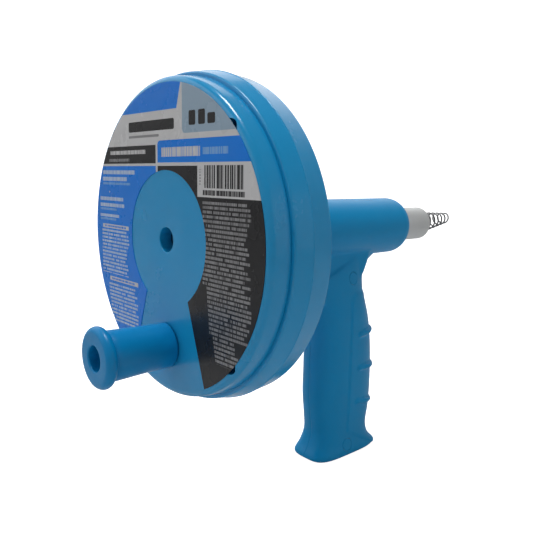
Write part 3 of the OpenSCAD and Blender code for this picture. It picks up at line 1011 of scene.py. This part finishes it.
@dataclass
class Drum:
    """The drum's two shells, their screws and the label, in mm."""

    workshop: Workshop
    face_r: float = 84.9
    rim_r: float = 3.9
    split_x: float = 11.9
    ridge_r: float = 93.7
    ridge_x: float = 22.9
    length: float = 36.0
    wall: float = 3.0
    bore_r: float = 7.0
    screw_circle: float = 82.6
    well_r: float = 4.5
    well_depth: float = 9.0
    post_end: float = 11.5
    screw_r: float = 1.7
    crank_r: float = 60.5
    insert_r: float = 4.5
    steps: int = 224

    def wells(self) -> list[Point]:
        """Centres of the screw wells as y and z."""
        turns = [math.radians(45 + 90 * i) for i in range(4)]
        return [(self.screw_circle * math.sin(a), self.screw_circle * math.cos(a)) for a in turns]

    def back_shell(self) -> bpy.types.Object:
        """Build the shell with the face, its bead and its wells.

        Returns:
            The finished piece.
        """
        outer = self.face_r + self.rim_r
        inner = [(r, self.wall, 0.0) for r in (80.0, 60.0, 40.0)]
        start = [(self.bore_r, 0.0, 0.6)] + [(r, 0.0, 0.0) for r in (22.0, 38.6, 60.0, 74.0)]
        end = [(outer + 0.8, self.split_x, 0.3), (outer - 1.8, self.split_x, 0.2),
               (outer - 1.8, 16.0, 0.3), (self.face_r, 16.0, 0.3), (self.face_r, self.wall, 0.6)]
        hub = [(10.0, self.wall, 0.6), (10.0, 8.0, 0.4), (self.bore_r, 8.0, 0.4)]
        bead = [(r, x, 0.0) for r, x in arc((self.face_r, self.rim_r), self.rim_r, -90, 0, 14)]
        shell = plain_object("drum_back", turned(eased(start + bead + end + inner + hub),
                                                 self.steps))
        carved(shell, [plug(self.well_r, -2.0, self.well_depth, at, flare=0.45)
                       for at in self.wells()])
        carved(shell, [plug(self.insert_r, -2.0, 6.0, (0.0, -self.crank_r))])
        post = [(self.well_r, self.wall - 0.4), (self.well_r + 1, self.wall - 0.4),
                (self.well_r + 1, self.post_end), (self.screw_r, self.post_end),
                (self.screw_r, self.well_depth), (self.well_r, self.well_depth)]
        posts = joined([turned(post, 40, at) for at in self.wells()])
        floors = plain_object("drum_well_floors", posts)
        self.workshop.dress(floors, Body.DRUM, Slot.DRUM)
        return self.workshop.dress(shell, Body.DRUM, Slot.DRUM, "drum_back_shell", crease=28.0)

    def front_shell(self) -> bpy.types.Object:
        """Build the deep shell with the ridge round it.

        Returns:
            The finished piece.
        """
        lip = [(r, x, 0.0) for r, x in arc((self.ridge_r - 2.9, self.split_x + 1.3), 1.2, -90,
                                           -10, 8)]
        profile = [(self.face_r + 2.2, self.split_x + 0.1, 0.2), *lip,
                   (self.ridge_r - 0.1, self.ridge_x - 0.5, 0.15),
                   (self.ridge_r + 0.18, self.ridge_x - 0.25, 0.15),
                   (self.ridge_r + 0.18, self.ridge_x + 0.25, 0.15),
                   (self.ridge_r - 0.1, self.ridge_x + 0.5, 0.15),
                   (self.ridge_r - 1.2, self.length - 0.5, 0.5),
                   (self.ridge_r - 1.7, self.length, 0.4), (60.0, self.length, 0.0),
                   (24.6, self.length, 0.5), (24.0, self.length + 2.2, 0.5),
                   (9.05, self.length + 2.2, 0.2), (9.05, self.length - self.wall, 0.2),
                   (60.0, self.length - self.wall, 0.0),
                   (self.ridge_r - 4.6, self.length - self.wall, 0.8),
                   (self.ridge_r - 4.6, 16.2, 0.3), (self.face_r + 2.2, 16.2, 0.2)]
        shell = plain_object("drum_front", turned(eased(profile), self.steps))
        return self.workshop.dress(shell, Body.DRUM, Slot.DRUM, "drum_front_shell", crease=28.0)

    def build(self) -> None:
        """Build the shells and finish the screws and the label."""
        self.back_shell()
        self.front_shell()
        self.workshop.repaint("drum_screws", Slot.PLATED)
        self.workshop.repaint("drum_label", Slot.LABEL)


# ---------------------------------------------------------------- knob


@dataclass
class CrankKnob:
    """The turning knob on the drum's face and its shoulder screw, in mm."""

    workshop: Workshop
    crank_r: float = 60.5
    bore_r: float = 4.05
    pocket_r: float = 7.0
    pocket_x: float = -16.0
    end_x: float = -45.0
    flange_r: float = 17.0
    flange_ease: float = 3.4
    body_r: float = 13.0
    base_x: float = -0.7

    def build(self) -> None:
        """Build the knob and finish the parts that hold it."""
        flange = arc((self.flange_r - self.flange_ease, self.end_x + self.flange_ease),
                     self.flange_ease, -90, 90, 20)
        profile = [(self.bore_r, self.base_x, 0.2), (self.bore_r, self.pocket_x, 0.2),
                   (self.pocket_r, self.pocket_x, 0.4), (self.pocket_r, self.end_x + 9.0, 0.0),
                   (self.pocket_r, self.end_x + 0.6, 0.5), (self.pocket_r + 0.7, self.end_x, 0.5),
                   *[(r, x, 0.0) for r, x in flange],
                   (self.body_r + 0.9, self.end_x + 9.5, 1.2), (self.body_r, -14.0, 3.0),
                   (self.body_r, self.base_x - 0.6, 0.3), (self.body_r - 0.6, self.base_x, 0.3)]
        knob = plain_object("knob_body", turned(eased(profile), 128, (0.0, -self.crank_r)))
        self.workshop.dress(knob, Body.KNOB, Slot.KNOB, "knob")
        self.workshop.repaint("knob_screw", Slot.PLATED)
        self.workshop.repaint("knob_washer", Slot.PLATED)
        self.workshop.repaint("knob_insert", Slot.BRASS)


# ---------------------------------------------------------------- grip


@dataclass
class Grip:
    """The pistol grip round the spindle, in two halves, in mm."""

    workshop: Workshop
    barrel_r: float = 20.7
    barrel_back: float = 41.5
    barrel_front: float = 206.0
    nose_ease: float = 11.0
    half_width: float = 16.4
    panel_height: float = 0.8
    rib_r: float = 1.9
    web_half: float = 13.0
    voxel: float = 0.72
    cap_r: float = 4.42
    seam: float = 0.05
    # z, back x, front x, share of the half width, squareness
    stations: tuple[tuple[float, ...], ...] = (
        (-12, 78, 190, 0.72, 2.6), (-19.5, 85, 178, 0.82, 2.6), (-25, 91, 168, 0.88, 2.6),
        (-31, 98, 164, 0.92, 2.6), (-38, 104, 162.8, 0.96, 2.6), (-50, 111, 164, 0.98, 2.6),
        (-64, 115.5, 168.5, 1.0, 2.6),
        (-80, 117.3, 171.8, 1.0, 2.6), (-98, 117.2, 173.6, 1.0, 2.6), (-118, 117, 174, 1.0, 2.6),
        (-134, 118.8, 172.8, 0.97, 2.7), (-147, 120.3, 169.8, 0.95, 2.9),
        (-156, 117.6, 171.6, 0.98, 3.3), (-162, 114, 177, 1.06, 3.8),
        (-164.4, 113.6, 177.5, 1.07, 3.8), (-166, 115.2, 175.8, 0.98, 3.8))
    panel: tuple[Point, ...] = ((142, -50), (146, -46), (190, -46), (190, -166.5),
                                (176, -166.5), (142, -147))
    web: tuple[Point, ...] = ((66, -10), (166, -10), (162, -22), (158, -31), (150, -40),
                              (112, -52), (104, -40), (92, -29), (76, -22))
    # start x, front x, z and tilt in degrees of each finger rib
    ribs: tuple[tuple[float, ...], ...] = ((149, 155.2, -76.2, -5), (149, 157.6, -101, 2),
                                           (148, 157, -126, 8))
    screws: tuple[Point, ...] = ((143.7, -34.5), (141.6, -157.5))

    def station(self, t: float) -> list[float]:
        """Sizes of the handle at a place along its stations.

        Args:
            t: the place, where 0 is the first station.

        Returns:
            z, back x, front x, half width share and squareness.
        """
        last = len(self.stations) - 1
        i = min(int(t), last - 1)
        u = t - i
        a, b, c, d = (self.stations[min(max(k, 0), last)] for k in (i - 1, i, i + 1, i + 2))
        return [0.5 * (2 * q + (r - p) * u + (2 * p - 5 * q + 4 * r - s) * u * u
                       + (3 * q - p - 3 * r + s) * u ** 3) for p, q, r, s in zip(a, b, c, d)]

    def handle(self, grow: float) -> bmesh.types.BMesh:
        """Loft the handle through its stations.

        Args:
            grow: how far it stands outside its own surface.

        Returns:
            The closed shape.
        """
        shape = bmesh.new()
        per, sides = 5, 72
        before: list[bmesh.types.BMEdge] = []
        for step in range((len(self.stations) - 1) * per + 1):
            z, back, front, share, square = self.station(step / per)
            half_x, half_y = (front - back) / 2 + grow, self.half_width * share + grow
            verts = bmesh.ops.create_circle(shape, cap_ends=False, segments=sides,
                                            radius=1.0)["verts"]
            for vert in verts:
                c, s = vert.co.x, vert.co.y
                x = math.copysign(abs(c) ** (2 / square), c)
                y = math.copysign(abs(s) ** (2 / square), s)
                vert.co = Vector(((front + back) / 2 + half_x * x, half_y * y, z)) * MM
            ring = list({edge for vert in verts for edge in vert.link_edges})
            if before:
                bmesh.ops.bridge_loops(shape, edges=before + ring)
            before = ring
        bmesh.ops.holes_fill(shape, edges=[e for e in shape.edges if e.is_boundary], sides=0)
        bmesh.ops.recalc_face_normals(shape, faces=shape.faces)
        return shape

    def rib(self, start: float, front: float, z: float, tilt: float) -> bmesh.types.BMesh:
        """Sweep one finger rib from one side round the front to the other.

        Args:
            start: x where the rib starts.
            front: x where its bow starts.
            z: its height.
            tilt: its slope in degrees, down towards the front.

        Returns:
            The closed shape.
        """
        reach = self.half_width + 0.4
        side = [Vector((start + (front - start) * i / 6, -reach, 0)) for i in range(6)]
        bow = [Vector((front + reach * math.sin(a), -reach * math.cos(a), 0))
               for a in (math.pi * i / 30 for i in range(31))]
        route = side + bow + [Vector((p.x, -p.y, 0)) for p in reversed(side)]
        lean = Matrix.Rotation(math.radians(tilt), 4, "Y")
        seat = Matrix.Translation((start, 0, z)) @ lean @ Matrix.Translation((-start, 0, 0))
        points = [(seat @ p) * MM for p in route]
        ends = 0.05

        def size(share: float) -> float:
            """The rib's radius, drawn in at its two ends."""
            from_end = min(share, 1 - share, ends) / ends
            return self.rib_r * MM * math.sqrt(max(0.04, 1 - (1 - from_end) ** 2))

        return swept(points, size, 20)

    def solid(self) -> bpy.types.Object:
        """Join the handle, panel, web, barrel and ribs into one smooth body.

        Returns:
            The whole grip, before it is split.
        """
        handle = self.handle(0.0)
        trimmed(handle, Vector((0.165, 0.0, -0.013)), Vector((-42.0, 0.0, 105.0)).normalized())
        raised = self.handle(self.panel_height)
        middle = Vector((165.0, 0.0, -100.0))
        for (x0, z0), (x1, z1) in zip(self.panel, self.panel[1:] + self.panel[:1]):
            away = Vector((z1 - z0, 0.0, x0 - x1)).normalized()
            at = Vector((x0, 0.0, z0))
            if away.dot(middle - at) > 0:
                away.negate()
            trimmed(raised, at * MM, away)
        r, back, front = self.barrel_r, self.barrel_back, self.barrel_front
        barrel = turned([(0.0, back), (r - 1, back), (r, back + 1),
                         *arc((r - self.nose_ease, front - self.nose_ease), self.nose_ease, 0, 90,
                              16), (0.0, front)], 144)
        parts = [handle, raised, slab(self.web, self.web_half), barrel]
        parts += [self.rib(*rib) for rib in self.ribs]
        body = plain_object("grip_whole", joined(parts))
        fused = body.modifiers.new("fuse", "REMESH")
        fused.mode = "VOXEL"
        fused.voxel_size = self.voxel * MM
        settle = body.modifiers.new("settle", "SMOOTH")
        settle.factor = 0.5
        settle.iterations = 3
        settled(body)
        neck = body.vertex_groups.new(name="neck")
        soft = [v.index for v in body.data.vertices
                if self.in_neck(v.co.x / MM, v.co.z / MM)]
        neck.add(soft, 1.0, "REPLACE")
        blend = body.modifiers.new("blend", "SMOOTH")
        blend.factor = 0.5
        blend.iterations = 24
        blend.vertex_group = "neck"
        settled(body)
        return body

    def in_neck(self, x: float, z: float) -> bool:
        """Whether a place is in the neck, where web, barrel and handle run into each other."""
        return -52.0 < z < -13.0 and 58.0 < x < 182.0

    def caps(self, body: bpy.types.Object) -> None:
        """Cut the screws' two caps from the grip's own surface, so that they lie flush.

        Args:
            body: the whole grip, which is kept.
        """
        both = bmesh.new()
        for i, at in enumerate(self.screws):
            blank = plain_object(f"cap_blank_{i}", self.cap_rod(at, self.cap_r, -11.7))
            cut = blank.modifiers.new("skin", "BOOLEAN")
            cut.operation = "INTERSECT"
            cut.solver = "EXACT"
            cut.object = body
            settled(blank)
            both.from_mesh(blank.data)
            bpy.data.objects.remove(blank)
        self.workshop.dress(plain_object("grip_caps", both), Body.GRIP,
                            Slot.GRIP, "screw_caps", crease=35.0)

    def halves(self, body: bpy.types.Object) -> None:
        """Split the grip along its middle and ease the seam.

        Args:
            body: the whole grip, which is used up.
        """
        for side, node in ((-1, "grip_half_right"), (1, "grip_half_left")):
            shape = bmesh.new()
            shape.from_mesh(body.data)
            trimmed(shape, Vector((0.0, side * self.seam * MM, 0.0)), Vector((0.0, -side, 0.0)))
            shape.normal_update()
            moves = [(vert, vert.normal.copy()) for vert in shape.verts
                     if abs(vert.co.y) < (self.seam + 0.02) * MM]
            for vert, out in moves:
                out.y = 0.0
                if out.length > 0.3:
                    vert.co -= out.normalized() * 0.16 * MM
            name = "grip_right" if side < 0 else "grip_left"
            half = plain_object(name, shape)
            if side < 0:
                carved(half, [self.cap_rod(at, self.cap_r + 0.3, -9.0) for at in self.screws])
            self.workshop.dress(half, Body.GRIP, Slot.GRIP, node, crease=42.0)
        bpy.data.objects.remove(body)

    def cap_rod(self, at: Point, radius: float, inner: float) -> bmesh.types.BMesh:
        """A round rod across the right side, at one of the screws.

        Args:
            at: its x and z.
            radius: its radius.
            inner: y of its inner end.

        Returns:
            The rod.
        """
        shape = turned([(0.0, -30.0), (radius, -30.0), (radius, inner), (0.0, inner)], 48)
        bmesh.ops.rotate(shape, verts=shape.verts, cent=(0, 0, 0),
                         matrix=Matrix.Rotation(math.pi / 2, 3, "Z"))
        bmesh.ops.translate(shape, verts=shape.verts, vec=(at[0] * MM, 0.0, at[1] * MM))
        return shape

    def build(self) -> None:
        """Build both halves and finish the screws, caps and bearings."""
        body = self.solid()
        # seat of the rear bush, thrust washer's rim, the long bore and the mouth for the ring
        bore = [(0.0, 38.0), (12.5, 38.0), (12.5, 57.0), (15.0, 57.0), (15.0, 59.5),
                (11.5, 59.5), (11.5, 200.5), (13.3, 200.5), (13.3, 205.4), (13.9, 206.6),
                (13.9, 209.0), (0.0, 209.0)]
        carved(body, [turned(bore, 128)])
        self.caps(body)
        self.halves(body)
        self.workshop.repaint("grip_screws", Slot.PLATED)
        for node in ("thrust_washer", "rear_bush", "front_bush"):
            self.workshop.repaint(node, Slot.NYLON)


# ---------------------------------------------------------------- chuck and spindle


@dataclass
class Chuck:
    """The nut that closes three jaws on the cable, and what turns with the spindle, in mm."""

    workshop: Workshop
    radius: float = 12.7
    back_x: float = 207.0
    shoulder_x: float = 236.0
    nose_r: float = 9.9
    front_x: float = 241.0
    mouth_r: float = 8.7
    mouth_x: float = 235.5
    cone_r: float = 9.06
    cone_x: float = 221.0
    cone_length: float = 12.5
    throat_r: float = 4.44
    groove_r: float = 10.6
    groove_x: float = 208.2
    groove_width: float = 1.6

    def build(self) -> None:
        """Build the nut and finish the parts round it."""
        shoulder = arc((self.radius - 4, self.shoulder_x), 4.0, 0, 62, 12)
        groove_end = self.groove_x + self.groove_width
        profile = [(self.cone_r, self.back_x, 0.2), (self.radius, self.back_x, 0.7),
                   *[(r, x, 0.0) for r, x in shoulder],
                   (self.nose_r + 0.3, self.front_x - 0.4, 0.2), (self.nose_r, self.front_x, 0.3),
                   (self.mouth_r, self.front_x, 0.2), (self.mouth_r, self.mouth_x, 0.2),
                   (self.throat_r, self.mouth_x, 0.3),
                   (self.throat_r, self.cone_x + self.cone_length, 0.2),
                   (self.cone_r, self.cone_x, 0.2),
                   (self.cone_r, groove_end, 0.0), (self.groove_r, groove_end, 0.0),
                   (self.groove_r, self.groove_x, 0.0), (self.cone_r, self.groove_x, 0.0)]
        nut = plain_object("chuck_body", turned(eased(profile), 160))
        self.workshop.dress(nut, Body.CHUCK, Slot.CHUCK, "chuck_nut", crease=30.0)
        self.workshop.repaint("chuck_seal", Slot.RUBBER)
        for node in ("jaw_top", "jaw_right", "jaw_left", "spindle", "spindle_rivets"):
            self.workshop.repaint(node, Slot.PLATED)
        self.workshop.repaint("retaining_ring", Slot.BLACK)


# ---------------------------------------------------------------- cable


@dataclass
class Cable:
    """The wound cable through the spindle and the open coil at its end, in mm."""

    workshop: Workshop
    radius: float = 3.0
    strand: float = 1.06
    start_x: float = 30.0
    end_x: float = 239.0
    tip_turns: float = 7.15
    tip_wire: float = 0.58
    tip_tilt: float = 4.0

    def lead(self) -> None:
        """Wind the straight lead: one strand spun round a core."""
        shape = bmesh.new()
        mean = self.radius - self.strand / 2
        turns = int((self.end_x - self.start_x - self.strand) / (self.strand * 1.02))
        sides, per_turn = 5, 12
        seat = Matrix.Translation(((self.start_x + self.strand / 2) * MM, 0, mean * MM))
        made = bmesh.ops.create_circle(shape, cap_ends=False, segments=sides,
                                       radius=self.strand / 2 * MM,
                                       matrix=seat @ Matrix.Rotation(math.pi / 2, 4, "X"))
        ring = list({edge for vert in made["verts"] for edge in vert.link_edges})
        step = (self.end_x - self.start_x - self.strand) / (turns * per_turn)
        bmesh.ops.spin(shape, geom=made["verts"] + ring, cent=(0, 0, 0), axis=(1, 0, 0),
                       dvec=(step * MM, 0, 0), angle=2 * math.pi * turns,
                       steps=turns * per_turn, use_merge=False, use_duplicate=False)
        bmesh.ops.holes_fill(shape, edges=[e for e in shape.edges if e.is_boundary], sides=0)
        bmesh.ops.recalc_face_normals(shape, faces=shape.faces)
        strand = plain_object("cable_strand", shape)
        self.workshop.dress(strand, Body.CABLE, Slot.WIRE, "cable_lead", crease=80.0)
        core = turned([(0.0, self.start_x), (mean, self.start_x), (mean, self.end_x),
                       (0.0, self.end_x)], 24)
        self.workshop.dress(plain_object("cable_core", core), Body.CABLE, Slot.WIRE)

    def route(self) -> list[Vector]:
        """Route of the tip's wire: it leaves the cable, flares, crosses itself and tapers.

        Returns:
            The points, in metres.
        """
        per_turn = 40
        count = int(self.tip_turns * per_turn)
        tilt = Matrix.Rotation(math.radians(-self.tip_tilt), 4, "Y")
        points = []
        for i in range(count + 1):
            u = i / count
            turn = i / per_turn
            a = 2 * math.pi * turn
            open_up = min(1.0, turn / 0.75)
            flare = open_up * open_up * (3 - 2 * open_up)
            r = 2.4 + (7.7 - 2.4) * flare - 3.9 * max(0.0, (u - 0.12) / 0.88) ** 1.1
            lean = 1.6 * math.exp(-((turn - 1.6) / 0.7) ** 2) * math.sin(a + 0.6)
            run = 4.2 * min(turn, 1.75) + 5.95 * max(0.0, turn - 1.75)
            x = 0.6 + run + lean * flare
            points.append(tilt @ Vector((x, r * math.sin(a), r * math.cos(a))))
        return [(p + Vector((self.end_x, 0, 0))) * MM for p in points]

    def tip(self) -> None:
        """Sweep the open coil at the cable's end."""
        def size(share: float) -> float:
            """The wire's radius, rounded off at its last end."""
            return self.tip_wire * MM * min(1.0, math.sqrt((1.004 - share) / 0.006) * 0.8 + 0.1)

        coil = plain_object("tip_coil", swept(self.route(), size, 12))
        self.workshop.dress(coil, Body.CABLE, Slot.WIRE, "cable_tip", crease=60.0)
        end = self.end_x
        collar = turned(eased([(0.0, end - 0.8, 0.0), (3.0, end - 0.8, 0.3), (3.0, end + 0.9, 0.5),
                               (1.8, end + 1.4, 0.4), (0.0, end + 1.4, 0.0)]), 32)
        self.workshop.dress(plain_object("tip_collar", collar), Body.CABLE, Slot.WIRE)

    def build(self) -> None:
        """Build the lead and the tip and finish the coil in the drum."""
        self.lead()
        self.tip()
        self.workshop.repaint("cable_coil", Slot.WIRE)


# ---------------------------------------------------------------- studio


@dataclass
class Studio:
    """The floor, the lights and the camera, in metres."""

    floor_z: float = -0.1662
    eye: tuple[float, float, float] = (-0.17757, -0.28864, 0.03603)
    look: tuple[float, float, float] = (0.6511, 0.7443, -0.1490)
    up: tuple[float, float, float] = (0.0871, 0.1217, 0.9887)
    lens: float = 40.53

    def floor(self) -> None:
        """Lay a round sheet of paper that rises all round like a shallow bowl."""
        shape = bmesh.new()
        points = [(0.0, 0.0), (1.6, 0.0)]
        points += [(1.6 + 1.2 * math.sin(a), 1.2 - 1.2 * math.cos(a))
                   for a in (math.pi / 2 * i / 16 for i in range(1, 17))]
        points.append((2.8, 3.2))
        verts = [shape.verts.new((r, 0.0, self.floor_z + z)) for r, z in points]
        edges = [shape.edges.new(pair) for pair in zip(verts, verts[1:])]
        bmesh.ops.spin(shape, geom=verts + edges, cent=(0, 0, 0), axis=(0, 0, 1), dvec=(0, 0, 0),
                       angle=2 * math.pi, steps=96, use_merge=True, use_duplicate=False)
        bmesh.ops.remove_doubles(shape, verts=shape.verts, dist=1e-6)
        bmesh.ops.recalc_face_normals(shape, faces=shape.faces)
        bmesh.ops.reverse_faces(shape, faces=shape.faces)
        paper = plain_object("studio_floor", shape)
        paper.data.materials.append(PAPER.build())
        paper.data.shade_smooth()

    def softbox(self, name: str, place: Vector, aim: Vector, size: Point, power: float) -> None:
        """Hang one soft area light.

        Args:
            name: its name.
            place: where it hangs.
            aim: the point it faces.
            size: its width and height.
            power: its power in watts.
        """
        light = bpy.data.lights.new(name, "AREA")
        light.shape = "RECTANGLE"
        light.size, light.size_y = size
        light.energy = power
        lamp = bpy.data.objects.new(name, light)
        lamp.matrix_world = (Matrix.Translation(place)
                             @ (aim - place).to_track_quat("-Z", "Y").to_matrix().to_4x4())
        bpy.context.scene.collection.objects.link(lamp)

    def sky(self) -> None:
        """Fill the room with even white light."""
        world = bpy.data.worlds.new("studio_world")
        world.use_nodes = True
        ground = world.node_tree.nodes["Background"]
        ground.inputs["Color"].default_value = (1.0, 1.0, 1.0, 1.0)
        ground.inputs["Strength"].default_value = 0.2
        bpy.context.scene.world = world
        bpy.context.scene.view_settings.view_transform = "Standard"

    def camera(self) -> None:
        """Set the camera at its calibrated place."""
        lens = bpy.data.cameras.new("camera")
        lens.sensor_fit = "HORIZONTAL"
        lens.sensor_width = 36.0
        lens.lens = self.lens
        lens.clip_start = 0.01
        lens.clip_end = 20.0
        made = bpy.data.objects.new("camera", lens)
        back = -Vector(self.look).normalized()
        right = Vector(self.up).cross(back).normalized()
        turn = Matrix((right, back.cross(right), back)).transposed().to_4x4()
        made.matrix_world = Matrix.Translation(self.eye) @ turn
        bpy.context.scene.collection.objects.link(made)
        bpy.context.scene.camera = made

    def build(self) -> None:
        """Build the studio."""
        self.camera()
        self.floor()
        self.sky()
        middle = Vector((0.09, 0.0, -0.03))
        self.softbox("top_softbox", Vector((-0.05, 0.05, 1.35)), middle, (0.5, 0.35), 11.0)
        self.softbox("fill_softbox", Vector((-1.3, -1.2, 0.7)), middle, (1.2, 1.2), 0.4)
        self.softbox("right_softbox", Vector((0.8, -1.5, 0.35)), middle, (1.3, 1.0), 1.5)


def main() -> None:
    """Build the studio and the sub-assemblies."""
    logging.basicConfig(level=logging.INFO, format="%(name)s: %(message)s")
    Studio().build()
    workshop = Workshop()
    for maker in (Drum(workshop), CrankKnob(workshop), Grip(workshop), Chuck(workshop),
                  Cable(workshop)):
        LOG.info("%s", type(maker).__name__)
        maker.build()


if __name__ == "__main__":
    main()
